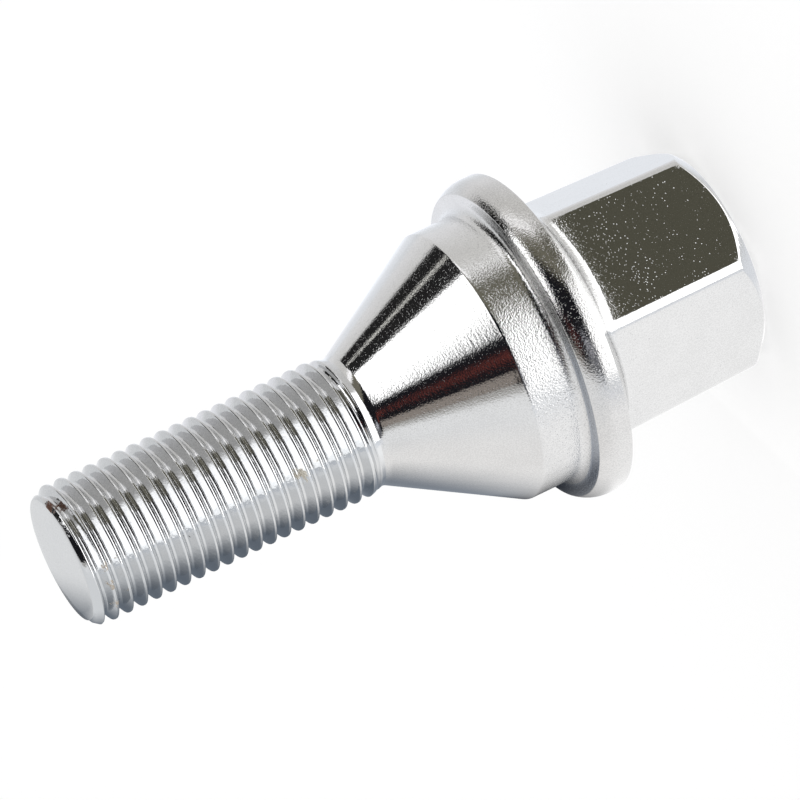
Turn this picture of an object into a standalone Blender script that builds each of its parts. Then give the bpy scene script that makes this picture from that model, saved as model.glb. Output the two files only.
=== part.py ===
"""Wheel lug bolt, forged and rolled in one piece.

It stands on the flat end of its hexagon head, with the thread pointing up. Sizes are in metres
and angles in degrees. Heights are worked out from the head's end face, which lies at z = 0.
"""

import math

import bmesh
import bpy
from mathutils import Vector

# Thread, M14 x 1.5, right-handed
THREAD_DIAMETER = 0.01390
THREAD_PITCH = 0.00150
THREAD_LENGTH = 0.03050
THREAD_START_TURN = 0.56
TIP_CHAMFER_DEPTH = 0.00078
TIP_CHAMFER_LENGTH = 0.00105
RUNOUT_LENGTH = 0.00150

# Plain neck and conical seat
NECK_UNDERCUT = 0.00045
NECK_LENGTH = 0.00040
NECK_FILLET = 0.00130
SEAT_INCLUDED_ANGLE = 60.0
SEAT_DIAMETER = 0.02720
SEAT_EDGE_RADIUS = 0.00050
BAND_LENGTH = 0.00490
BAND_FILLET = 0.00100

# Round flange with a crowned rim and a sloping back
FLANGE_DIAMETER = 0.03260
FLANGE_THICKNESS = 0.00315
FLANGE_CROWN_LENGTH = 0.00215
FLANGE_CROWN_RISE = 0.00075
FLANGE_BACK_SLOPE = 25.0

# Hexagon head
HEX_ACROSS_FLATS = 0.02200
HEX_DRAFT = 1.5
HEX_CORNER_RADIUS = 0.00130
HEX_ROOT_FILLET = 0.00150
HEAD_LENGTH = 0.01830
END_FACE_DIAMETER = 0.02040
END_CHAMFER_ANGLE = 45.0

# Fineness of the facets
TURN_STEPS = 40
ARC_STEP_ANGLE = 12.0
CORNER_STEPS = 4
FLAT_STEPS = 4
ROOT_FILLET_SHARES = (0.0, 0.25, 0.5, 0.75)

# Metric thread form, as shares of the pitch
THREAD_DEPTH_SHARE = 0.6134
CREST_FLAT_SHARE = 0.125
CUTTER_RISE_SHARE = 0.12
FLANK_ANGLE = 30.0

# How far a helper solid reaches past the surface that it cuts or joins
OVERLAP = 0.00160
MERGE_DISTANCE = 0.00001

PART_NAME = "wheel_lug_bolt"


def tan(degrees):
    return math.tan(math.radians(degrees))


def heights():
    """Levels along the axis, from the head's end face up to the thread's tip."""
    neck = THREAD_DIAMETER / 2 - NECK_UNDERCUT
    seat_height = (SEAT_DIAMETER / 2 - neck) / tan(SEAT_INCLUDED_ANGLE / 2)
    level = {"flange_back": HEAD_LENGTH}
    level["flange_face"] = level["flange_back"] + FLANGE_THICKNESS
    level["seat_edge"] = level["flange_face"] + BAND_LENGTH
    level["seat_top"] = level["seat_edge"] + seat_height
    level["thread_start"] = level["seat_top"] + NECK_LENGTH
    level["tip"] = level["thread_start"] + THREAD_LENGTH
    return level


def clear_scene():
    for item in list(bpy.data.objects):
        bpy.data.objects.remove(item, do_unlink=True)


def new_collection(name):
    collection = bpy.data.collections.new(name)
    bpy.context.scene.collection.children.link(collection)
    return collection


def add_object(name, mesh, collection):
    item = bpy.data.objects.new(name, mesh)
    collection.objects.link(item)
    return item


def rounded_corner(before, corner, after, radius):
    """Points of the arc that rounds a corner between two straight runs of an outline."""
    to_before = (before - corner).normalized()
    to_after = (after - corner).normalized()
    opening = to_before.angle(to_after)
    turning = math.pi - opening
    reach = radius * math.tan(turning / 2)
    start = corner + to_before * reach
    end = corner + to_after * reach
    centre = corner + (to_before + to_after).normalized() * (radius / math.cos(turning / 2))
    steps = max(2, math.ceil(math.degrees(turning) / ARC_STEP_ANGLE))
    first = start - centre
    swing = first.angle_signed(end - centre)
    points = []
    for step in range(steps + 1):
        angle = -swing * step / steps
        cosine, sine = math.cos(angle), math.sin(angle)
        turned = Vector((cosine * first.x - sine * first.y, sine * first.x + cosine * first.y))
        points.append(centre + turned)
    return points


def crowned_rim(level):
    """The flange's rim: an arc from the edge of its face that ends upright at full diameter."""
    sweep = 2 * math.atan2(FLANGE_CROWN_RISE, FLANGE_CROWN_LENGTH)
    radius = FLANGE_CROWN_LENGTH / math.sin(sweep)
    centre_x = FLANGE_DIAMETER / 2 - radius
    centre_z = level["flange_face"] - FLANGE_CROWN_LENGTH
    steps = max(2, math.ceil(math.degrees(sweep) / ARC_STEP_ANGLE))
    points = []
    for step in range(steps + 1):
        angle = sweep * (1 - step / steps)
        points.append(Vector((centre_x + radius * math.cos(angle), centre_z + radius * math.sin(angle))))
    return points


def blank_outline():
    """Half section of everything turned, from the tip down its outer side to the axis."""
    level = heights()
    thread = THREAD_DIAMETER / 2
    neck = thread - NECK_UNDERCUT
    seat = SEAT_DIAMETER / 2
    rim = FLANGE_DIAMETER / 2
    face = rim - FLANGE_CROWN_RISE
    core = HEX_ACROSS_FLATS / 4
    tip_edge = Vector((thread - TIP_CHAMFER_DEPTH, level["tip"]))
    runout_end = Vector((neck, level["thread_start"]))
    seat_top = Vector((neck, level["seat_top"]))
    seat_edge = Vector((seat, level["seat_edge"]))
    band_foot = Vector((seat, level["flange_face"]))
    face_edge = Vector((face, level["flange_face"]))
    core_height = level["flange_back"] - (rim - core) * tan(FLANGE_BACK_SLOPE)
    outline = [Vector((0, level["tip"])), tip_edge]
    outline.append(Vector((thread, level["tip"] - TIP_CHAMFER_LENGTH)))
    outline.append(Vector((thread, level["thread_start"] + RUNOUT_LENGTH)))
    outline.append(runout_end)
    outline += rounded_corner(runout_end, seat_top, seat_edge, NECK_FILLET)
    outline += rounded_corner(seat_top, seat_edge, band_foot, SEAT_EDGE_RADIUS)
    outline += rounded_corner(seat_edge, band_foot, face_edge, BAND_FILLET)
    outline += crowned_rim(level)
    outline.append(Vector((rim, level["flange_back"])))
    outline.append(Vector((core, core_height)))
    outline.append(Vector((0, core_height)))
    return outline


def turned_solid(name, outline, collection):
    """A closed solid of revolution about Z, from a half section drawn at +X."""
    mesh = bpy.data.meshes.new(name)
    corners = [(point.x, 0, point.y) for point in outline]
    edges = [(index, index + 1) for index in range(len(corners) - 1)]
    mesh.from_pydata(corners, edges, [])
    item = add_object(name, mesh, collection)
    screw = item.modifiers.new("Turn", "SCREW")
    screw.axis = "Z"
    screw.angle = math.tau
    screw.steps = TURN_STEPS
    screw.render_steps = TURN_STEPS
    screw.use_merge_vertices = True
    screw.merge_threshold = MERGE_DISTANCE
    screw.use_smooth_shade = True
    return item


def lofted_solid(name, sections, collection):
    """A closed solid through rings of equally many points, capped at both ends."""
    form = bmesh.new()
    rings = [[form.verts.new(point) for point in section] for section in sections]
    count = len(rings[0])
    for ring, following in zip(rings, rings[1:]):
        for index in range(count):
            beside = (index + 1) % count
            form.faces.new((ring[index], ring[beside], following[beside], following[index]))
    form.faces.new(reversed(rings[0]))
    form.faces.new(rings[-1])
    bmesh.ops.recalc_face_normals(form, faces=form.faces)
    mesh = bpy.data.meshes.new(name)
    form.to_mesh(mesh)
    form.free()
    return add_object(name, mesh, collection)


def groove_section(angle, height, lift):
    """The cutter's V at one point of the helix: flat at the root, open past the crests."""
    depth = THREAD_DEPTH_SHARE * THREAD_PITCH
    rise = CUTTER_RISE_SHARE * THREAD_PITCH
    crest_half = (1 - CREST_FLAT_SHARE) * THREAD_PITCH / 2
    root_half = crest_half - depth * tan(FLANK_ANGLE)
    mouth_half = crest_half + rise * tan(FLANK_ANGLE)
    root = THREAD_DIAMETER / 2 - depth + lift
    mouth = THREAD_DIAMETER / 2 + rise + lift
    corners = [(root, -root_half), (mouth, -mouth_half), (mouth, mouth_half), (root, root_half)]
    cosine, sine = math.cos(angle), math.sin(angle)
    return [Vector((radius * cosine, radius * sine, height + offset)) for radius, offset in corners]


def thread_groove(collection):
    """The groove between the threads, from above the tip down to where it leaves the metal."""
    level = heights()
    depth = THREAD_DEPTH_SHARE * THREAD_PITCH
    top = level["tip"] + (1 + THREAD_START_TURN) * THREAD_PITCH
    bottom = level["thread_start"]
    count = round((top - bottom) / THREAD_PITCH * TURN_STEPS)
    fade = RUNOUT_LENGTH / THREAD_PITCH * TURN_STEPS
    full_lift = depth - NECK_UNDERCUT + CUTTER_RISE_SHARE * THREAD_PITCH
    sections = []
    for step in range(count + 1):
        angle = -math.tau * step / TURN_STEPS
        height = top - THREAD_PITCH * step / TURN_STEPS
        share = max(0.0, 1 - (count - step) / fade)
        sections.append(groove_section(angle, height, full_lift * share))
    return lofted_solid("thread_groove_cutter", sections, collection)


def hexagon_points(apothem, corner_radius):
    """A hexagon with rounded corners, one of them on +X, as points and outward directions."""
    reach = (apothem - corner_radius) / math.cos(math.pi / 6)
    arcs = []
    for corner in range(6):
        middle = math.tau * corner / 6
        centre = Vector((reach * math.cos(middle), reach * math.sin(middle)))
        for step in range(CORNER_STEPS + 1):
            angle = middle + math.radians(60 * step / CORNER_STEPS - 30)
            outward = Vector((math.cos(angle), math.sin(angle)))
            arcs.append((centre + outward * corner_radius, outward))
    points = []
    for index, (point, outward) in enumerate(arcs):
        points.append((point, outward))
        if index % (CORNER_STEPS + 1) == CORNER_STEPS:
            following = arcs[(index + 1) % len(arcs)][0]
            for step in range(1, FLAT_STEPS):
                points.append((point.lerp(following, step / FLAT_STEPS), outward))
    return points


def hexagon_at(height):
    """The hexagon's outline at a height: full size at the flange, narrower towards the end."""
    narrowing = (HEAD_LENGTH - height) * tan(HEX_DRAFT)
    return hexagon_points(HEX_ACROSS_FLATS / 2 - narrowing, HEX_CORNER_RADIUS)


def root_fillet_section(share, inset=0.0):
    """One ring of the fillet between the hexagon's sides and the flange's sloping back."""
    slope = math.radians(FLANGE_BACK_SLOPE)
    angle = (math.pi / 2 - slope) * share
    ring = []
    for index, (root, outward) in enumerate(hexagon_at(HEAD_LENGTH)):
        beside = root.length + HEX_ROOT_FILLET
        back = HEAD_LENGTH - (FLANGE_DIAMETER / 2 - beside) * math.tan(slope)
        centre = back - HEX_ROOT_FILLET / math.cos(slope)
        wall = hexagon_at(centre)[index][0]
        moved = wall + outward * HEX_ROOT_FILLET * (1 - math.cos(angle))
        ring.append(Vector((moved.x, moved.y, centre + HEX_ROOT_FILLET * math.sin(angle) + inset)))
    return ring


def hexagon_head(collection):
    """The hexagon from its end face to its root fillet, trimmed by a cone at its end."""
    end = [Vector((point.x, point.y, 0)) for point, _ in hexagon_at(0)]
    sections = [end] + [root_fillet_section(share) for share in ROOT_FILLET_SHARES]
    sections.append(root_fillet_section(ROOT_FILLET_SHARES[-1], inset=OVERLAP))
    head = lofted_solid("hexagon_head", sections, collection)
    chamfer = turned_solid("end_chamfer", chamfer_outline(), collection)
    hide_helper(chamfer)
    boolean(head, chamfer, "INTERSECT")
    return head


def chamfer_outline():
    """Half section of the cone that trims the hexagon's end corners."""
    level = heights()
    face = END_FACE_DIAMETER / 2
    outside = FLANGE_DIAMETER / 2 + OVERLAP
    cone_height = (outside - face) * tan(END_CHAMFER_ANGLE)
    return [
        Vector((0, level["flange_face"])),
        Vector((outside, level["flange_face"])),
        Vector((outside, cone_height)),
        Vector((face, 0)),
        Vector((0, 0)),
    ]


def hide_helper(item):
    item.hide_render = True
    item.display_type = "WIRE"


def boolean(item, other, operation):
    modifier = item.modifiers.new(operation.title(), "BOOLEAN")
    modifier.operation = operation
    modifier.solver = "EXACT"
    modifier.object = other


def chrome_material():
    material = bpy.data.materials.new("chrome_plate")
    material.use_nodes = True
    shader = material.node_tree.nodes["Principled BSDF"]
    shader.inputs["Base Color"].default_value = (0.72, 0.72, 0.73, 1)
    shader.inputs["Metallic"].default_value = 1.0
    shader.inputs["Roughness"].default_value = 0.16
    return material


def build():
    clear_scene()
    parts = new_collection(PART_NAME)
    helpers = new_collection("helpers")
    groove = thread_groove(helpers)
    head = hexagon_head(helpers)
    hide_helper(groove)
    hide_helper(head)
    bolt = turned_solid(PART_NAME, blank_outline(), parts)
    boolean(bolt, groove, "DIFFERENCE")
    boolean(bolt, head, "UNION")
    bolt.data.materials.append(chrome_material())


build()
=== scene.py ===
"""Wheel lug bolt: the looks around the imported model.

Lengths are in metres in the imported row's frame: the bolt stands on the flat end of its hexagon
head, at z = 0, with its thread up and one corner of the hexagon on +X. The camera stands where
the photograph was taken from and is rolled, so that the bolt lies aslant in the picture.
"""

import math

import bmesh
import bpy
from mathutils import Matrix, Vector


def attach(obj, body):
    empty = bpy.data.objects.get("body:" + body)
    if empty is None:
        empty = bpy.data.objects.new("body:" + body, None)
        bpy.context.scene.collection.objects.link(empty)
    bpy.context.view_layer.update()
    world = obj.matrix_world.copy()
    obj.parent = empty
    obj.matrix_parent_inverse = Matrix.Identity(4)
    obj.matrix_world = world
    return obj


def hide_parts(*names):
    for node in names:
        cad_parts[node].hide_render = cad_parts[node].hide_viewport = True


MM = 0.001
NODE = "wheel_lug_bolt"

# Thread, M14 x 1.5, right-handed
THREAD_RADIUS = 6.95 * MM
THREAD_PITCH = 1.50 * MM
THREAD_LENGTH = 30.50 * MM
THREAD_START_TURN = 0.56
THREAD_DEPTH = 0.6134 * THREAD_PITCH
THREAD_CREST_FLAT = THREAD_PITCH / 8
THREAD_FLANK_ANGLE = 30.0
CREST_SOFTNESS = 0.03 * MM
ROOT_SOFTNESS = 0.04 * MM
RUNOUT_LENGTH = 1.50 * MM
TIP_FACE_RADIUS = 6.175 * MM
TIP_CHAMFER_LENGTH = 1.05 * MM
TIP_EDGE_RADIUS = 0.16 * MM
TIP_EDGE_DROP = 0.6 * TIP_EDGE_RADIUS

# Neck, conical seat and band
NECK_RADIUS = 6.50 * MM
NECK_LENGTH = 0.40 * MM
NECK_FILLET = 1.30 * MM
SEAT_HALF_ANGLE = 30.0
SEAT_RADIUS = 13.60 * MM
SEAT_EDGE_RADIUS = 0.45 * MM
BAND_LENGTH = 4.90 * MM
BAND_FILLET = 1.00 * MM

# Round flange
FLANGE_FACE_RADIUS = 15.55 * MM
FLANGE_FACE_EDGE = 0.10 * MM
FLANGE_RADIUS = 16.30 * MM
FLANGE_THICKNESS = 3.15 * MM
FLANGE_CROWN_LENGTH = 2.15 * MM
FLANGE_BACK_EDGE = 0.15 * MM
FLANGE_BACK_SLOPE = 25.0

# Hexagon head
HEX_SIDES = 6
HEX_APOTHEM = 11.00 * MM
HEX_DRAFT = 1.5
HEX_CORNER_RADIUS = 1.30 * MM
HEX_ROOT_FILLET = 1.50 * MM
HEAD_LENGTH = 18.30 * MM
END_FACE_RADIUS = 10.20 * MM
END_FACE_EDGE = 0.30 * MM
END_CHAMFER_ANGLE = 45.0
END_CHAMFER_EDGE = 0.35 * MM

# Fineness of the mesh and its shading. Groove rows are shares of a pitch off the groove's middle, and
# tip rings are shares of the reach out to the thread's rim and of the rise up to the tip's face.
CORNER_COLUMNS = 10
FLAT_COLUMNS = 18
SOLVING_ROUNDS = 8
CROWN_ROWS = 10
END_FACE_INNER_SHARE = 0.25
END_FACE_ROWS = 5
GROOVE_ROWS = (0.0, 0.05, 0.085, 0.125, 0.19, 0.28, 0.37, 0.41, 0.435, 0.46)
CREST_MIDDLE = 0.5
SPARE_TURNS = 4
TIP_EDGE_RINGS = ((0.75, 0.55), (0.45, 0.85), (0.0, 1.0))
TIP_FACE_RINGS = (0.85, 0.6, 0.3)
SNAP = 0.02 * MM
LARGE_FACE_WEIGHT = 60

# Camera
CAMERA_LENS = 253.0
CAMERA_SENSOR = 36.0
CAMERA_DISTANCE = 524.4 * MM
CAMERA_AIM_HEIGHT = 33.79 * MM
CAMERA_AZIMUTH = -18.8
CAMERA_ELEVATION = 16.61
CAMERA_ROLL = -115.40
CAMERA_CLIP = (10 * MM, 20000 * MM)

# Pale floor
FLOOR_RADIUS = 4000 * MM
FLOOR_CORNERS = 96
FLOOR_COLOUR = (0.5, 0.5, 0.5)
FLOOR_ROUGHNESS = 0.9
FLOOR_GLOW = 0.49

# Chrome plate: colours and roughness. What ends in X or SPAN is a pair of places in millimetres
# between which the colour changes: x, or height over the flange's face.
CHROME_BRIGHT = (0.70, 0.70, 0.70)
CHROME_DULL = (0.635, 0.635, 0.635)
RIM_BRIGHT = (0.665, 0.66, 0.655)
RIM_DULL = (0.575, 0.572, 0.57)
THREAD_BRIGHT = (0.64, 0.645, 0.65)
THREAD_DULL = (0.56, 0.565, 0.575)
# Painted light: the thread's colour turns brighter towards -x, which lightens its reflections there.
THREAD_PAINTED_LIGHT = (0.68, 0.69, 0.70)
THREAD_PAINTED_LIGHT_X = (-1, -4.5)
# Painted shade: a dark bluish colour on the flange's face next to the seat's band, towards -x.
CORNER_PAINTED_SHADE = (0.46, 0.49, 0.54)
CORNER_PAINTED_SHADE_SPAN = (0.12, 0.04)
CORNER_PAINTED_SHADE_X = (-4, -9)
CLOUDS_PER_MM = 0.35
CLOUD_WEIGHT = 0.4
SPECKS_PER_MM = 8.0
SHADE_RANGE = (0.45, 0.95)
POLISHED_ROUGHNESS = 0.05
THREAD_ROUGHNESS = 0.06
END_ROUGHNESS = 0.10
TIP_ROUGHNESS = 0.12
PIT_ROUGHNESS = 0.28
RUST_ROUGHNESS = 0.45
RUST_METALLIC = 0.45

# Chrome plate: depths of its relief in millimetres. The pairs are places in millimetres between
# which the depth changes: x, height over the flange's back or height over the seat's edge.
GRAINS_PER_MM = 6.0
BAND_FINE_DEPTH = 0.026
BAND_COARSE_DEPTH = 0.048
BAND_COARSE_X = (2, -3)
CONE_SPAN = (-0.5, 0.2)
CONE_GRAIN_DEPTH = 0.007
CONE_MARK_DEPTH = 0.0035
CONE_MARK_STRETCH = (0.05, 0.05, 1)
RIM_GRAIN_DEPTH = 0.024
HEX_PLAIN_DEPTH = 0.0035
HEX_GRAIN_DEPTH = 0.022
HEX_GRAIN_SPAN = (-5.5, -1.5)
HEX_SCRATCH_DEPTH = 0.002
HEX_SCRATCH_STRETCH = (6, 6, 0.5)
HEX_WAVES_PER_MM = 0.5
HEX_WAVE_DEPTH = 0.010
THREAD_GRAINS_PER_MM = 3.0
THREAD_GRAIN_DEPTH = 0.009
THREAD_DENTS_PER_MM = 0.9
THREAD_DENT_DEPTH = 0.030
END_GRAINS_PER_MM = 2.5
END_GRAIN_DEPTH = 0.006
TURNING_MARK_PITCH = 0.33
TURNING_MARK_DEPTH = 0.0012
TIP_WAVES_PER_MM = 0.4
TIP_WAVE_DEPTH = 0.02
TIP_GRAINS_PER_MM = 5.0
TIP_GRAIN_DEPTH = 0.001

# Pits in the plate: radius and wall are shares of a cell, and a pit's depth is in millimetres, or in
# the peel a share of the grain's. The rest are the shares of cells that hold a pit, and the heights
# over the flange's back, in millimetres, between which the hexagon's share grows.
PITS_PER_MM = 6.5
PIT_RADIUS = 0.12
PIT_RADIUS_SPREAD = 0.3
PIT_WALL = 0.2
PIT_DEPTH = 0.018
PEEL_PITS = 0.6
PEEL_PIT_DEPTH = -0.5
HEX_PITS_AT_END = 0.05
HEX_PITS_MIDWAY = 0.20
HEX_PITS_MORE_AT_FLANGE = 0.65
HEX_PITS_FEW_SPAN = (2 - HEAD_LENGTH / MM, -5)
HEX_PITS_MORE_SPAN = (-6, -2)

# Rust and stains on the thread: middle and radius in millimetres, colour
RUST_MARKS = (
    ((3.1, -5.4, 69.3), 0.95, (0.11, 0.05, 0.03)),
    ((-4.1, -5.5, 67.5), 0.45, (0.46, 0.40, 0.33)),
    ((-5.6, -4.1, 67.5), 0.5, (0.46, 0.40, 0.33)),
    ((-6.7, -1.8, 67.5), 0.6, (0.48, 0.42, 0.35)),
    ((-4.2, -4.8, 47.1), 0.7, (0.62, 0.585, 0.51)),
    ((-4.8, -4.3, 59.0), 0.25, (0.10, 0.09, 0.09)),
)
RUST_EDGE = 0.35
RUST_RAGS_PER_MM = 2.2
RUST_RAGGEDNESS = 2.6

# What the chrome sees far off. Each area has its corners in degrees across and up from the line
# to the photograph's camera, the softness of its edge in degrees, and its light.
CEILING_LIGHT = (0.79, 0.78, 0.76)
REAR_LIGHT = (0.98, 0.98, 1.0)
REAR_START, REAR_END = 95, 150
LEAST_LENGTH = 0.001
STUDIO_AREAS = (
    (((34, -60), (120, -60), (120, 62), (12, 62)), 3, (1.9, 1.9, 1.9)),
    (((48, -4), (120, -4), (120, 66), (34, 66)), 9, (2.9, 2.9, 2.9)),
    (((-66, -60), (50, -60), (31, 0), (15.5, 43), (-62, 44)), 2.5, (0.012, 0.012, 0.015)),
    (((-60, 34), (16, 32), (19.5, 50), (14, 62), (3, 70), (-30, 60), (-60, 48)), 4, (0.20, 0.19, 0.15)),
    (((-110, 10), (-66, 10), (-53, 46), (-60, 66), (-78, 78), (-96, 60)), 1.2, (0.02, 0.02, 0.02)),
    (((-76.3, 54.9), (-74.9, 53.7), (-66.9, 62.6), (-68.3, 63.7)), 0.6, (1.4, 1.38, 1.3)),
    (((2, -60), (44, -60), (33, -8), (6, -10)), 5, (0.15, 0.155, 0.17)),
    (((8, -20), (24, -22), (26, -12), (10, -10)), 3, (0.55, 0.55, 0.60)),
    (((-28, -50), (-10, -50), (-13, -24), (-28, -30)), 1.2, (0.34, 0.30, 0.27)),
    (((-24, -11), (-21.5, -17), (-2, -24), (-6, -15)), 1.0, (0.14, 0.036, 0.03)),
    (
        ((-38, -5), (-28.6, -2.2), (-37.5, 21.5), (-53.5, 45), (-58, 43), (-68, 30), (-63, 22)),
        2,
        (2.2, 2.2, 2.2),
    ),
    (((-58, 51), (0, 69.5), (-3, 80.5), (-34, 75), (-60, 60)), 2, (1.4, 1.39, 1.4)),
    (((21.7, 37.1), (29.3, 41.9), (7, 79.8), (-0.6, 75)), 1.2, (0.106, 0.102, 0.076)),
)

# White board beside the bolt, where the photograph's table lay: only the chrome sees it. Its light
# changes with the place, in millimetres from the point that lies under the flange's back: along
# the bolt, beside it, away in any direction, or towards the front left. Each change says between
# which places it comes in, and the light beyond them.
BOARD_PITCH = 33.5
BOARD_REACH = 1500 * MM
BOARD_FRONT = 400 * MM
BOARD_FRONT_LEAN = 2.0
BOARD_LIGHT = (1.21, 1.21, 1.21)
BOARD_CHANGES = (
    ({"along": (-8, 12)}, (1.07, 1.06, 1.05)),
    ({"along": (20, 50)}, (0.87, 0.885, 0.90)),
    ({"along": (50, 35), "beside": (-8, -30)}, (1.02, 1.03, 1.07)),
    ({"along": (12, 0), "beside": (-8, -30)}, (1.10, 1.14, 1.21)),
    ({"along": (-5, 15), "beside": (16, 45)}, (1.03, 1.04, 1.05)),
    ({"along": (40, 10), "away": (40, 110)}, (0.95, 0.98, 1.03)),
    ({"along": (40, 10), "away": (130, 350)}, (0.82, 0.84, 0.86)),
    ({"along": (-450, -1000)}, (0.60, 0.60, 0.63)),
    ({"front_left": (200, 500)}, (0.46, 0.45, 0.43)),
)

# Shade along the line where the bolt touches the board: its colour under the flange, then under the
# seat and the thread; where it narrows at its two ends, and by how much; and how far beside the
# line it begins to fade and has gone.
BOARD_SHADE = (0.035, 0.04, 0.05)
BOARD_SHADE_CHANGES = (
    ({"along": (3, 8)}, (0.26, 0.29, 0.335)),
    ({"along": (16, 24)}, (0.14, 0.165, 0.20)),
)
BOARD_SHADE_START = (-1, -9, 14)
BOARD_SHADE_END = (46, 54, 13)
BOARD_SHADE_FADE = (2, 15.5)


def tan(degrees):
    return math.tan(math.radians(degrees))


def levels():
    """Heights above the head's end face, from the flange's back up to the thread's tip."""
    level = {"flange_back": HEAD_LENGTH}
    level["flange_face"] = level["flange_back"] + FLANGE_THICKNESS
    level["seat_edge"] = level["flange_face"] + BAND_LENGTH
    level["seat_top"] = level["seat_edge"] + (SEAT_RADIUS - NECK_RADIUS) / tan(SEAT_HALF_ANGLE)
    level["thread_start"] = level["seat_top"] + NECK_LENGTH
    level["tip"] = level["thread_start"] + THREAD_LENGTH
    return level


LEVEL = levels()


def hexagon_radius(angle, apothem):
    """Distance from the axis to the hexagon's rounded outline, in a direction round the axis."""
    sixth = math.tau / HEX_SIDES
    off_corner = abs((angle + sixth / 2) % sixth - sixth / 2)
    centre = (apothem - HEX_CORNER_RADIUS) / math.cos(sixth / 2)
    if off_corner > corner_half_angle(apothem):
        return apothem / math.cos(sixth / 2 - off_corner)
    across = centre * math.sin(off_corner)
    return centre * math.cos(off_corner) + math.sqrt(HEX_CORNER_RADIUS**2 - across**2)


def corner_half_angle(apothem):
    """Half of the angle round the axis that one rounded corner takes up."""
    half_sixth = math.pi / HEX_SIDES
    centre = (apothem - HEX_CORNER_RADIUS) / math.cos(half_sixth)
    side = HEX_CORNER_RADIUS * math.sin(half_sixth)
    return math.atan2(side, centre + HEX_CORNER_RADIUS * math.cos(half_sixth))


def column_angles():
    """Directions of the mesh's columns, close together at the hexagon's corners."""
    half = corner_half_angle(HEX_APOTHEM)
    sixth = math.tau / HEX_SIDES
    angles = []
    for corner in range(HEX_SIDES):
        middle = sixth * corner
        for step in range(CORNER_COLUMNS):
            angles.append(middle - half + 2 * half * step / CORNER_COLUMNS)
        flat = sixth - 2 * half
        for step in range(FLAT_COLUMNS):
            angles.append(middle + half + flat * step / FLAT_COLUMNS)
    return angles


def arc(before, corner, after, radius, steps):
    """Points of the arc that rounds a corner of an outline."""
    to_before = (before - corner).normalized()
    to_after = (after - corner).normalized()
    turning = math.pi - to_before.angle(to_after)
    reach = radius * math.tan(turning / 2)
    centre = corner + (to_before + to_after).normalized() * (radius / math.cos(turning / 2))
    first = corner + to_before * reach - centre
    swing = first.angle_signed(corner + to_after * reach - centre)
    points = []
    for step in range(steps + 1):
        angle = -swing * step / steps
        cosine, sine = math.cos(angle), math.sin(angle)
        offset = Vector((cosine * first.x - sine * first.y, sine * first.x + cosine * first.y))
        points.append(centre + offset)
    return points


def line(start, end, steps):
    """Points between two ends, without the ends."""
    return [start.lerp(end, step / steps) for step in range(1, steps)]


def head_corners(angle):
    """Corners of the head's half section in one direction: end face, chamfer, side and back.

    The side leans by its draft, so where it meets the chamfer and the back is found in rounds.
    """
    end = Vector((END_FACE_RADIUS, 0))
    rim = Vector((FLANGE_RADIUS, LEVEL["flange_back"]))
    side_end = Vector((END_FACE_RADIUS, 0))
    root = Vector((HEX_APOTHEM, LEVEL["flange_back"]))
    for _ in range(SOLVING_ROUNDS):
        narrowing = (HEAD_LENGTH - side_end.y) * tan(HEX_DRAFT)
        side_end.x = hexagon_radius(angle, HEX_APOTHEM - narrowing)
        side_end.y = (side_end.x - END_FACE_RADIUS) * tan(END_CHAMFER_ANGLE)
        narrowing = (HEAD_LENGTH - root.y) * tan(HEX_DRAFT)
        root.x = hexagon_radius(angle, HEX_APOTHEM - narrowing)
        root.y = LEVEL["flange_back"] - (FLANGE_RADIUS - root.x) * tan(FLANGE_BACK_SLOPE)
    return end, side_end, root, rim


def crown_arc(steps):
    """The flange's rim, from its full radius to the edge of its face."""
    rise = FLANGE_RADIUS - FLANGE_FACE_RADIUS
    sweep = 2 * math.atan2(rise, FLANGE_CROWN_LENGTH)
    radius = FLANGE_CROWN_LENGTH / math.sin(sweep)
    centre = Vector((FLANGE_RADIUS - radius, LEVEL["flange_face"] - FLANGE_CROWN_LENGTH))
    points = []
    for step in range(steps + 1):
        angle = sweep * step / steps
        points.append(centre + radius * Vector((math.cos(angle), math.sin(angle))))
    return points


def section(angle):
    """Half section in one direction, from the end face's middle to the neck: (points, regions)."""
    end, side_end, root, rim = head_corners(angle)
    crown = crown_arc(CROWN_ROWS)
    face_edge = crown[-1]
    band_foot = Vector((SEAT_RADIUS, LEVEL["flange_face"]))
    seat_edge = Vector((SEAT_RADIUS, LEVEL["seat_edge"]))
    seat_top = Vector((NECK_RADIUS, LEVEL["seat_top"]))
    neck_end = Vector((NECK_RADIUS, LEVEL["thread_start"]))
    # Each arc's region, its points, and the rows of faces from it to the next arc
    arcs = [
        ("end", arc(Vector((0, 0)), end, side_end, END_FACE_EDGE, 4), 3),
        ("end", arc(end, side_end, root, END_CHAMFER_EDGE, 5), 14),
        ("hexagon", arc(side_end, root, rim, HEX_ROOT_FILLET, 8), 5),
        ("rim", arc(root, rim, crown[0], FLANGE_BACK_EDGE, 3), 2),
        ("rim", crown[:-1], 0),
        ("rim", arc(crown[-2], face_edge, band_foot, FLANGE_FACE_EDGE, 3), 3),
        ("seat", arc(face_edge, band_foot, seat_edge, BAND_FILLET, 8), 5),
        ("seat", arc(band_foot, seat_edge, seat_top, SEAT_EDGE_RADIUS, 4), 16),
        ("seat", arc(seat_edge, seat_top, neck_end, NECK_FILLET, 7), 2),
        ("thread", [neck_end], 0),
    ]
    points = [Vector((END_FACE_RADIUS * END_FACE_INNER_SHARE, 0))]
    points += line(points[0], arcs[0][1][0], END_FACE_ROWS)
    regions = ["end"] * len(points)
    for index, (region, arc_points, rows) in enumerate(arcs):
        points += arc_points
        regions += [region] * len(arc_points)
        if rows:
            next_region, next_points, _ = arcs[index + 1]
            filler = line(arc_points[-1], next_points[0], rows)
            points += filler
            regions[-1] = region if region == "seat" else next_region
            regions += [regions[-1]] * len(filler)
    return points, regions


def soft_min(a, b, width):
    """The lower of two values, rounded where they cross."""
    share = max(0.0, min(1.0, 0.5 + (b - a) / (2 * width)))
    return b + (a - b) * share - width * share * (1 - share)


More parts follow.
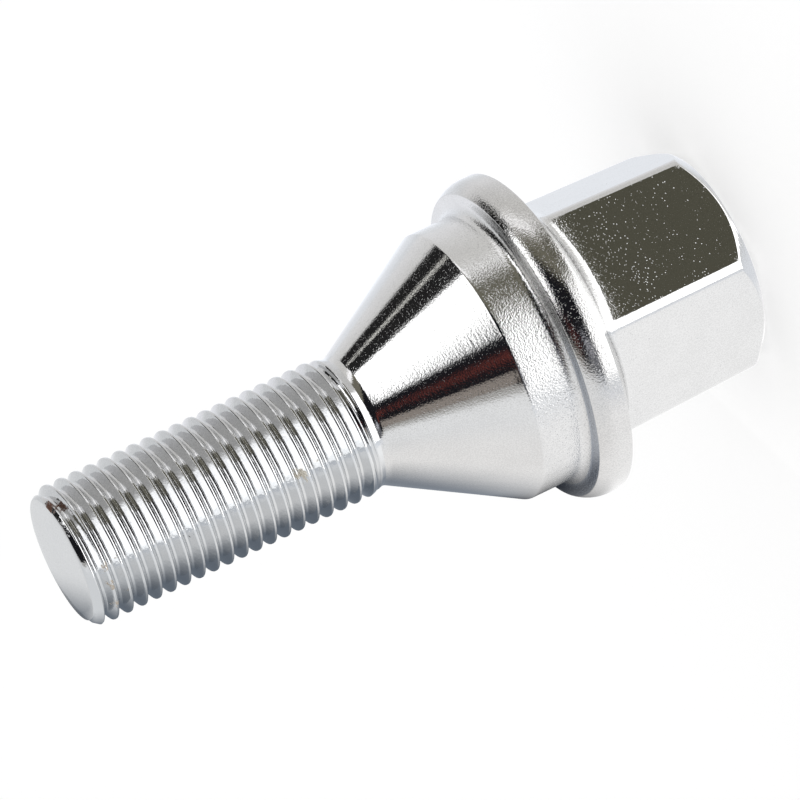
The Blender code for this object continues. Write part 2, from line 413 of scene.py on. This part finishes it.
def thread_radius(height, off_groove):
    """Radius of the thread at a height, at a distance along the axis from the groove's middle."""
    apex_gap = (THREAD_PITCH - THREAD_CREST_FLAT) / 2 / tan(THREAD_FLANK_ANGLE)
    flank = THREAD_RADIUS - apex_gap + abs(off_groove) / tan(THREAD_FLANK_ANGLE)
    root = THREAD_RADIUS - THREAD_DEPTH
    groove = -soft_min(-flank, -root, ROOT_SOFTNESS)
    above_neck = height - LEVEL["thread_start"]
    lift = THREAD_DEPTH * max(0.0, 1 - above_neck / RUNOUT_LENGTH)
    blank = NECK_RADIUS + (THREAD_RADIUS - NECK_RADIUS) * min(1.0, above_neck / RUNOUT_LENGTH)
    below_tip = LEVEL["tip"] - height
    chamfer = TIP_FACE_RADIUS + (THREAD_RADIUS - TIP_FACE_RADIUS) * below_tip / TIP_CHAMFER_LENGTH
    outside = soft_min(blank, chamfer, CREST_SOFTNESS)
    return soft_min(outside, groove + lift, CREST_SOFTNESS)


def groove_offset(angle, height):
    """Distance along the axis to the nearest groove's middle, in one direction."""
    middle = LEVEL["tip"] + (1 + THREAD_START_TURN + angle / math.tau) * THREAD_PITCH
    return (height - middle + THREAD_PITCH / 2) % THREAD_PITCH - THREAD_PITCH / 2


def thread_rows():
    """Heights of the helical rows in the first column, from below the neck to above the tip."""
    offsets = sorted({*GROOVE_ROWS, CREST_MIDDLE, *(-share for share in GROOVE_ROWS)})
    start = LEVEL["tip"] + (1 + THREAD_START_TURN) * THREAD_PITCH
    turns = math.ceil(THREAD_LENGTH / THREAD_PITCH) + SPARE_TURNS
    return [start + (share - turn) * THREAD_PITCH for turn in range(turns, -1, -1) for share in offsets]


def round_axis(angle, radius, height):
    """The place at a radius and a height, in a direction round the axis."""
    return radius * math.cos(angle), radius * math.sin(angle), height


def ring_faces(form, rings, region_of_row):
    """Faces between neighbouring rings of vertices, each with its row's region."""
    faces = []
    for row, (ring, following) in enumerate(zip(rings, rings[1:])):
        for index, vert in enumerate(ring):
            beside = (index + 1) % len(ring)
            corners = (vert, ring[beside], following[beside], following[index])
            faces.append((form.faces.new(corners), region_of_row(row)))
    return faces


def bolt_mesh():
    """The whole bolt as one mesh: head and seat in straight columns, thread along its helix."""
    form = bmesh.new()
    angles = column_angles()
    sections = [section(angle) for angle in angles]
    regions = sections[0][1]
    rings = []
    for row in range(len(regions)):
        ring = []
        for angle, (points, _) in zip(angles, sections):
            radius, height = points[row]
            ring.append(form.verts.new(round_axis(angle, radius, height)))
        rings.append(ring)
    faces = []
    middle = form.verts.new((0, 0, 0))
    for index, vert in enumerate(rings[0]):
        beside = rings[0][(index + 1) % len(angles)]
        faces.append((form.faces.new((middle, beside, vert)), "end"))
    faces += ring_faces(form, rings, lambda row: regions[row])
    faces += thread_faces(form, angles, rings[-1])
    names = list(FINISHES)
    for face, region in faces:
        face.material_index = names.index(region)
        face.smooth = True
    mesh = bpy.data.meshes.new("bolt")
    form.to_mesh(mesh)
    form.free()
    return mesh


def thread_faces(form, angles, foot):
    """The thread's faces between the neck's ring and the tip, and the tip's face."""
    count = len(angles)
    rim_height = LEVEL["tip"] - TIP_EDGE_DROP
    top = []
    for angle in angles:
        radius = thread_radius(rim_height, groove_offset(angle, rim_height))
        top.append(form.verts.new(round_axis(angle, radius, rim_height)))
    rows = thread_rows()
    per_turn = 2 * len(GROOVE_ROWS)
    grid = {}

    def vertex(row, column):
        if column == count:
            row, column = row + per_turn, 0
        height = rows[row] + angles[column] / math.tau * THREAD_PITCH
        if height < LEVEL["thread_start"] + SNAP:
            return foot[column]
        if height > rim_height - SNAP:
            return top[column]
        if (row, column) not in grid:
            radius = thread_radius(height, groove_offset(angles[column], height))
            grid[row, column] = form.verts.new(round_axis(angles[column], radius, height))
        return grid[row, column]

    faces = []
    for row in range(len(rows) - per_turn - 1):
        for column in range(count):
            corners = [vertex(row, column), vertex(row, column + 1)]
            corners += [vertex(row + 1, column + 1), vertex(row + 1, column)]
            corners = list(dict.fromkeys(corners))
            if len(corners) > 2:
                faces.append((form.faces.new(corners), "thread"))
    faces += tip_faces(form, angles, top)
    return faces


def tip_faces(form, angles, edge):
    """The tip's flat face with its rounded edge."""
    flat = TIP_FACE_RADIUS - TIP_EDGE_RADIUS
    rings = [edge]
    for outwards, upwards in TIP_EDGE_RINGS:
        ring = []
        for angle, vert in zip(angles, edge):
            reach = flat + (vert.co.xy.length - flat) * outwards
            height = vert.co.z + (LEVEL["tip"] - vert.co.z) * upwards
            ring.append(form.verts.new(round_axis(angle, reach, height)))
        rings.append(ring)
    for share in TIP_FACE_RINGS:
        ring = [form.verts.new(round_axis(angle, flat * share, LEVEL["tip"])) for angle in angles]
        rings.append(ring)
    rounded = len(TIP_EDGE_RINGS) - 1
    faces = ring_faces(form, rings, lambda row: "thread" if row < rounded else "tip")
    middle = form.verts.new((0, 0, LEVEL["tip"]))
    for index, vert in enumerate(rings[-1]):
        beside = rings[-1][(index + 1) % len(angles)]
        faces.append((form.faces.new((vert, beside, middle)), "tip"))
    return faces


def new_material(name):
    material = bpy.data.materials.new(name)
    material.use_nodes = True
    return material, material.node_tree, material.node_tree.nodes["Principled BSDF"]


def set_or_link(tree, socket, value):
    if isinstance(value, bpy.types.NodeSocket):
        tree.links.new(value, socket)
    else:
        socket.default_value = value


def math_node(tree, operation, *values):
    """A Math node's result; each value is a number or another node's output."""
    node = tree.nodes.new("ShaderNodeMath")
    node.operation = operation
    for socket, value in zip(node.inputs, values):
        set_or_link(tree, socket, value)
    return node.outputs[0]


def times(tree, first, second):
    return math_node(tree, "MULTIPLY", first, second)


def plus(tree, *values):
    total = values[0]
    for value in values[1:]:
        total = math_node(tree, "ADD", total, value)
    return total


def hypotenuse(tree, first, second):
    squares = plus(tree, times(tree, first, first), times(tree, second, second))
    return math_node(tree, "SQRT", squares)


def vector_math(tree, operation, first, second=None):
    """A Vector Math node for a vector from another node and, if it takes two, a fixed one."""
    node = tree.nodes.new("ShaderNodeVectorMath")
    node.operation = operation
    tree.links.new(first, node.inputs[0])
    if second is not None:
        node.inputs[1].default_value = second
    return node


def ramp(tree, value, start, end, low=0.0, high=1.0):
    """Goes smoothly from low to high while the value goes from start to end."""
    node = tree.nodes.new("ShaderNodeMapRange")
    node.interpolation_type = "SMOOTHSTEP"
    set_or_link(tree, node.inputs["Value"], value)
    node.inputs["From Min"].default_value = start
    node.inputs["From Max"].default_value = end
    set_or_link(tree, node.inputs["To Min"], low)
    set_or_link(tree, node.inputs["To Max"], high)
    return node.outputs["Result"]


def mix(tree, share, first, second):
    """A colour between two, by a share from 0 to 1."""
    node = tree.nodes.new("ShaderNodeMix")
    node.data_type = "RGBA"
    set_or_link(tree, node.inputs["Factor"], share)
    first_socket, second_socket = [socket for socket in node.inputs if socket.type == "RGBA"]
    for socket, colour in ((first_socket, first), (second_socket, second)):
        set_or_link(tree, socket, colour if isinstance(colour, bpy.types.NodeSocket) else (*colour, 1))
    return next(socket for socket in node.outputs if socket.type == "RGBA")


def place_in_mm(tree):
    """The shaded point in millimetres, in its object's own frame."""
    place = tree.nodes.new("ShaderNodeTexCoord").outputs["Object"]
    node = vector_math(tree, "SCALE", place)
    node.inputs["Scale"].default_value = 1 / MM
    return node.outputs["Vector"]


def split(tree, place):
    node = tree.nodes.new("ShaderNodeSeparateXYZ")
    tree.links.new(place, node.inputs[0])
    return node.outputs[0], node.outputs[1], node.outputs[2]


def span_over(level, span):
    """Two heights in millimetres, given as heights over one of the bolt's levels."""
    return [LEVEL[level] / MM + height for height in span]


def stretched(tree, place, factors):
    """A place with its three coordinates multiplied, which draws a pattern out the other way."""
    return vector_math(tree, "MULTIPLY", place, factors).outputs["Vector"]


def noise(tree, place, per_mm, detail=2.0):
    """Random hills between 0 and 1, so many to the millimetre."""
    node = tree.nodes.new("ShaderNodeTexNoise")
    tree.links.new(place, node.inputs["Vector"])
    node.inputs["Scale"].default_value = per_mm
    node.inputs["Detail"].default_value = detail
    return node.outputs[0]


def pits(tree, place, kept):
    """1 in the middle of small round pits and 0 between them, in a share of the cells."""
    node = tree.nodes.new("ShaderNodeTexVoronoi")
    tree.links.new(place, node.inputs["Vector"])
    node.inputs["Scale"].default_value = PITS_PER_MM
    chance, width, _ = split(tree, node.outputs["Color"])
    radius = plus(tree, times(tree, width, PIT_RADIUS_SPREAD), PIT_RADIUS)
    inside = math_node(tree, "SUBTRACT", radius, node.outputs["Distance"])
    here = math_node(tree, "LESS_THAN", chance, kept)
    return times(tree, here, ramp(tree, inside, 0, PIT_WALL))


def peel(tree, place):
    """Orange peel: hills with small pits among them."""
    dots = times(tree, pits(tree, place, PEEL_PITS), PEEL_PIT_DEPTH)
    return plus(tree, noise(tree, place, GRAINS_PER_MM), dots)


def chrome(name, roughness, relief, dull=CHROME_DULL, bright=CHROME_BRIGHT):
    """Chrome plate. The relief is a function that draws its height in millimetres."""
    material, tree, shader = new_material(name)
    place = place_in_mm(tree)
    clouds = times(tree, noise(tree, place, CLOUDS_PER_MM, detail=4), CLOUD_WEIGHT)
    specks = noise(tree, place, SPECKS_PER_MM, detail=0)
    shade = ramp(tree, plus(tree, clouds, specks), *SHADE_RANGE)
    tree.links.new(mix(tree, shade, dull, bright), shader.inputs["Base Color"])
    shader.inputs["Metallic"].default_value = 1.0
    shader.inputs["Roughness"].default_value = roughness
    bump = tree.nodes.new("ShaderNodeBump")
    bump.inputs["Distance"].default_value = MM
    tree.links.new(relief(tree, place), bump.inputs["Height"])
    tree.links.new(bump.outputs["Normal"], shader.inputs["Normal"])
    return material, tree, shader, place


def end_relief(tree, place):
    """Fine rings on the end face, as a lathe leaves them."""
    x, y, _ = split(tree, place)
    turns = times(tree, hypotenuse(tree, x, y), math.tau / TURNING_MARK_PITCH)
    rings = times(tree, math_node(tree, "SINE", turns), TURNING_MARK_DEPTH)
    grain = times(tree, noise(tree, place, END_GRAINS_PER_MM), END_GRAIN_DEPTH)
    return plus(tree, rings, grain)


def end_chrome():
    return chrome("chrome_end", END_ROUGHNESS, end_relief)[0]


def hexagon_pits(tree, place):
    """Small pits, few near the end and crowded near the flange."""
    height = split(tree, place)[2]
    few_start, few_end = span_over("flange_back", HEX_PITS_FEW_SPAN)
    few = ramp(tree, height, few_start, few_end, HEX_PITS_AT_END, HEX_PITS_MIDWAY)
    more_start, more_end = span_over("flange_back", HEX_PITS_MORE_SPAN)
    more = ramp(tree, height, more_start, more_end, 0, HEX_PITS_MORE_AT_FLANGE)
    return pits(tree, place, plus(tree, few, more))


def hexagon_relief(tree, place):
    """Small pits and faint scratches on the flats, and grain towards the flange."""
    height = split(tree, place)[2]
    start, end = span_over("flange_back", HEX_GRAIN_SPAN)
    depth = ramp(tree, height, start, end, HEX_PLAIN_DEPTH, HEX_GRAIN_DEPTH)
    grain = times(tree, noise(tree, place, GRAINS_PER_MM), depth)
    dots = times(tree, hexagon_pits(tree, place), -PIT_DEPTH)
    along = stretched(tree, place, HEX_SCRATCH_STRETCH)
    scratches = times(tree, noise(tree, along, 1.0), HEX_SCRATCH_DEPTH)
    waves = times(tree, noise(tree, place, HEX_WAVES_PER_MM), HEX_WAVE_DEPTH)
    return plus(tree, grain, dots, scratches, waves)


def hexagon_chrome():
    """Chrome whose small pits scatter the light."""
    material, tree, shader, place = chrome("chrome_hexagon", POLISHED_ROUGHNESS, hexagon_relief)
    roughness = ramp(tree, hexagon_pits(tree, place), 0, 1, POLISHED_ROUGHNESS, PIT_ROUGHNESS)
    tree.links.new(roughness, shader.inputs["Roughness"])
    return material


def rim_relief(tree, place):
    return times(tree, peel(tree, place), RIM_GRAIN_DEPTH)


def rim_chrome():
    return chrome("chrome_rim", POLISHED_ROUGHNESS, rim_relief, RIM_DULL, RIM_BRIGHT)[0]


def seat_relief(tree, place):
    """Orange peel, coarse on the band and fine on the cone, with turning marks round the cone."""
    x, _, height = split(tree, place)
    band_depth = ramp(tree, x, *BAND_COARSE_X, BAND_FINE_DEPTH, BAND_COARSE_DEPTH)
    start, end = span_over("seat_edge", CONE_SPAN)
    depth = ramp(tree, height, start, end, band_depth, CONE_GRAIN_DEPTH)
    turns = noise(tree, stretched(tree, place, CONE_MARK_STRETCH), 1 / TURNING_MARK_PITCH)
    return plus(tree, times(tree, peel(tree, place), depth), times(tree, turns, CONE_MARK_DEPTH))


def seat_chrome():
    """Chrome with painted shade in the corner between the flange's face and the seat's band, towards
    -x.
    """
    material, tree, shader, place = chrome("chrome_seat", POLISHED_ROUGHNESS, seat_relief)
    plain = shader.inputs["Base Color"].links[0].from_socket
    x, _, height = split(tree, place)
    start, end = span_over("flange_face", CORNER_PAINTED_SHADE_SPAN)
    # Painted shade: the flange's face by the band turns dark bluish towards -x.
    share = times(tree, ramp(tree, height, start, end), ramp(tree, x, *CORNER_PAINTED_SHADE_X))
    tree.links.new(mix(tree, share, plain, CORNER_PAINTED_SHADE), shader.inputs["Base Color"])
    return material


def thread_relief(tree, place):
    """A rolled thread's uneven flanks and crests under the plating."""
    fine = times(tree, noise(tree, place, THREAD_GRAINS_PER_MM, detail=3), THREAD_GRAIN_DEPTH)
    coarse = times(tree, noise(tree, place, THREAD_DENTS_PER_MM, detail=3), THREAD_DENT_DEPTH)
    return plus(tree, fine, coarse)


def distance_to(tree, place, centre):
    return vector_math(tree, "DISTANCE", place, centre).outputs["Value"]


def thread_chrome():
    """Chrome with some rust that broke through near the tip, and painted light towards -x."""
    finish = chrome("chrome_thread", THREAD_ROUGHNESS, thread_relief, THREAD_DULL, THREAD_BRIGHT)
    material, tree, shader, place = finish
    plain = shader.inputs["Base Color"].links[0].from_socket
    # Painted light: the thread turns brighter towards -x.
    lit_side = ramp(tree, split(tree, place)[0], *THREAD_PAINTED_LIGHT_X)
    colour = mix(tree, lit_side, plain, THREAD_PAINTED_LIGHT)
    hills = plus(tree, noise(tree, place, RUST_RAGS_PER_MM, detail=4), -0.5)
    ragged = times(tree, hills, RUST_RAGGEDNESS)
    stained = 0.0
    for centre, radius, stain in RUST_MARKS:
        off = plus(tree, distance_to(tree, place, centre), ragged)
        share = ramp(tree, off, radius, radius - RUST_EDGE)
        colour = mix(tree, share, colour, stain)
        stained = math_node(tree, "MAXIMUM", stained, share)
    tree.links.new(colour, shader.inputs["Base Color"])
    roughness = ramp(tree, stained, 0, 1, THREAD_ROUGHNESS, RUST_ROUGHNESS)
    tree.links.new(roughness, shader.inputs["Roughness"])
    tree.links.new(ramp(tree, stained, 0, 1, 1.0, RUST_METALLIC), shader.inputs["Metallic"])
    return material


def tip_relief(tree, place):
    waves = times(tree, noise(tree, place, TIP_WAVES_PER_MM), TIP_WAVE_DEPTH)
    grain = times(tree, noise(tree, place, TIP_GRAINS_PER_MM), TIP_GRAIN_DEPTH)
    return plus(tree, waves, grain)


def tip_chrome():
    return chrome("chrome_tip", TIP_ROUGHNESS, tip_relief)[0]


FINISHES = {
    "end": end_chrome,
    "hexagon": hexagon_chrome,
    "rim": rim_chrome,
    "seat": seat_chrome,
    "thread": thread_chrome,
    "tip": tip_chrome,
}


def add_bolt():
    bolt = bpy.data.objects.new("lug_bolt_chromed", bolt_mesh())
    bpy.context.scene.collection.objects.link(bolt)
    for make in FINISHES.values():
        bolt.data.materials.append(make())
    weighted = bolt.modifiers.new("Flat faces stay flat", "WEIGHTED_NORMAL")
    weighted.weight = LARGE_FACE_WEIGHT
    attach(bolt, "root")
    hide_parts(NODE)


def add_floor():
    bpy.ops.mesh.primitive_circle_add(vertices=FLOOR_CORNERS, radius=FLOOR_RADIUS, fill_type="NGON")
    floor = bpy.context.object
    floor.name = "floor"
    material, _, shader = new_material("pale_floor")
    shader.inputs["Base Color"].default_value = (*FLOOR_COLOUR, 1)
    shader.inputs["Roughness"].default_value = FLOOR_ROUGHNESS
    shader.inputs["Emission Color"].default_value = (1, 1, 1, 1)
    shader.inputs["Emission Strength"].default_value = FLOOR_GLOW
    floor.data.materials.append(material)
    floor.visible_glossy = False


def camera_back():
    """The direction from the bolt to the photograph's camera."""
    azimuth = math.radians(CAMERA_AZIMUTH)
    elevation = math.radians(CAMERA_ELEVATION)
    back = Vector((math.sin(azimuth), -math.cos(azimuth), 0)) * math.cos(elevation)
    back.z = math.sin(elevation)
    return back


def camera_axes():
    """The photograph camera's right, up and backward directions, fixed in the row's frame."""
    back = camera_back()
    upright = (-back).to_track_quat("-Z", "Y").to_matrix()
    turned = upright @ Matrix.Rotation(math.radians(CAMERA_ROLL), 3, "Z")
    return [turned.col[index].copy() for index in range(3)]


def add_camera():
    """The photograph's camera, rolled so that the bolt lies from lower left to upper right."""
    camera = bpy.data.cameras.new("camera")
    camera.lens = CAMERA_LENS
    camera.sensor_width = CAMERA_SENSOR
    camera.clip_start, camera.clip_end = CAMERA_CLIP
    item = bpy.data.objects.new("camera", camera)
    bpy.context.scene.collection.objects.link(item)
    item.location = Vector((0, 0, CAMERA_AIM_HEIGHT)) + camera_back() * CAMERA_DISTANCE
    item.rotation_euler = Matrix(camera_axes()).transposed().to_euler()
    bpy.context.scene.camera = item


def studio_map(tree):
    """Degrees across and up from the line towards the photograph's camera, and degrees off it."""
    direction = tree.nodes.new("ShaderNodeTexCoord").outputs["Generated"]
    parts = []
    for axis in camera_axes():
        parts.append(vector_math(tree, "DOT_PRODUCT", direction, axis).outputs["Value"])
    right, up, towards = parts
    off = math_node(tree, "DEGREES", math_node(tree, "ARCCOSINE", towards))
    length = math_node(tree, "MAXIMUM", hypotenuse(tree, right, up), LEAST_LENGTH)
    scale = math_node(tree, "DIVIDE", off, length)
    return times(tree, right, scale), times(tree, up, scale), off


def area(tree, across, up, corners, soft):
    """1 inside a convex area of the studio map and 0 outside, with soft edges."""
    inside = None
    for (x, y), (next_x, next_y) in zip(corners, corners[1:] + corners[:1]):
        length = math.hypot(next_x - x, next_y - y)
        lean_x, lean_y = (y - next_y) / length, (next_x - x) / length
        sideways = math_node(tree, "MULTIPLY_ADD", across, lean_x, -x * lean_x - y * lean_y)
        distance = math_node(tree, "MULTIPLY_ADD", up, lean_y, sideways)
        inside = distance if inside is None else math_node(tree, "MINIMUM", inside, distance)
    return ramp(tree, inside, -soft, soft)


def studio_colour(tree):
    """What the chrome sees: a dull ceiling, soft lights at both sides and a dark opening in front."""
    across, up, off = studio_map(tree)
    colour = mix(tree, ramp(tree, off, REAR_START, REAR_END), CEILING_LIGHT, REAR_LIGHT)
    for corners, soft, light in STUDIO_AREAS:
        colour = mix(tree, area(tree, across, up, corners, soft), colour, light)
    return colour


def changed(tree, measures, colour, changes):
    """A colour after its changes with the place, which the measures give."""
    for spans, colour_there in changes:
        share = 1.0
        for name, (start, end) in spans.items():
            share = times(tree, share, ramp(tree, measures[name], start, end))
        colour = mix(tree, share, colour, colour_there)
    return colour


def board_colour(tree):
    """White card, shaded along the line where the bolt touches it and dimmer far off."""
    along, beside, _ = split(tree, place_in_mm(tree))
    measures = {
        "along": along,
        "beside": beside,
        "away": hypotenuse(tree, along, beside),
        "front_left": plus(tree, beside, times(tree, along, BOARD_FRONT_LEAN)),
    }
    clear = math_node(tree, "ABSOLUTE", beside)
    for start, end, widening in (BOARD_SHADE_START, BOARD_SHADE_END):
        clear = plus(tree, clear, ramp(tree, along, start, end, 0, widening))
    shade = changed(tree, measures, BOARD_SHADE, BOARD_SHADE_CHANGES)
    light = changed(tree, measures, BOARD_LIGHT, BOARD_CHANGES)
    return mix(tree, ramp(tree, clear, *BOARD_SHADE_FADE), shade, light)


def board_place():
    """The board's place and turn: it touches the flange's back edge and the thread's tip."""
    _, up, back = camera_axes()
    pitch = math.radians(BOARD_PITCH)
    outward = up * math.cos(pitch) + back * math.sin(pitch)
    along = Vector((0, 0, 1)) - outward * outward.z
    along.normalize()
    touching = []
    for radius, height in ((FLANGE_RADIUS, LEVEL["flange_back"]), (THREAD_RADIUS, LEVEL["tip"])):
        touching.append(height * outward.z - radius * outward.xy.length)
    middle = Vector((0, 0, LEVEL["flange_back"]))
    middle += outward * (min(touching) - middle.dot(outward))
    turned = Matrix((along, outward.cross(along), outward)).transposed()
    return Matrix.Translation(middle) @ turned.to_4x4()


def add_board():
    """The board that the chrome sees beside the bolt."""
    left, right, rear, front = -BOARD_REACH, BOARD_REACH, -BOARD_REACH, BOARD_FRONT
    corners = [(left, rear, 0), (right, rear, 0), (right, front, 0), (left, front, 0)]
    mesh = bpy.data.meshes.new("white_board")
    mesh.from_pydata(corners, [], [(0, 1, 2, 3)])
    board = bpy.data.objects.new("white_board", mesh)
    bpy.context.scene.collection.objects.link(board)
    board.matrix_world = board_place()
    material, tree, shader = new_material("board_card")
    shader.inputs["Base Color"].default_value = (0, 0, 0, 1)
    shader.inputs["Specular IOR Level"].default_value = 0.0
    shader.inputs["Emission Strength"].default_value = 1.0
    tree.links.new(board_colour(tree), shader.inputs["Emission Color"])
    board.data.materials.append(material)
    board.visible_camera = False
    board.visible_diffuse = False
    board.visible_shadow = False
    board.visible_transmission = False


def add_world():
    """Even white light for the floor, and the studio's lights and dark parts for what is glossy."""
    world = bpy.data.worlds.new("studio")
    world.use_nodes = True
    bpy.context.scene.world = world
    tree = world.node_tree
    glossy = tree.nodes.new("ShaderNodeLightPath").outputs["Is Glossy Ray"]
    colour = mix(tree, glossy, (1, 1, 1), studio_colour(tree))
    tree.links.new(colour, tree.nodes["Background"].inputs["Color"])


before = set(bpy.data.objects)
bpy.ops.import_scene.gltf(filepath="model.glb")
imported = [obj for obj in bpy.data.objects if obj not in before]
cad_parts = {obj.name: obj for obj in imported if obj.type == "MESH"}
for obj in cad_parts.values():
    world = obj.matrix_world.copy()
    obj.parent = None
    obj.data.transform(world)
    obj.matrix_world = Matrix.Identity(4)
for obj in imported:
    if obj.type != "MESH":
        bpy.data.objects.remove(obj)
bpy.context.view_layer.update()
add_bolt()
add_floor()
add_board()
add_camera()
add_world()
bpy.context.scene.view_settings.view_transform = "Standard"
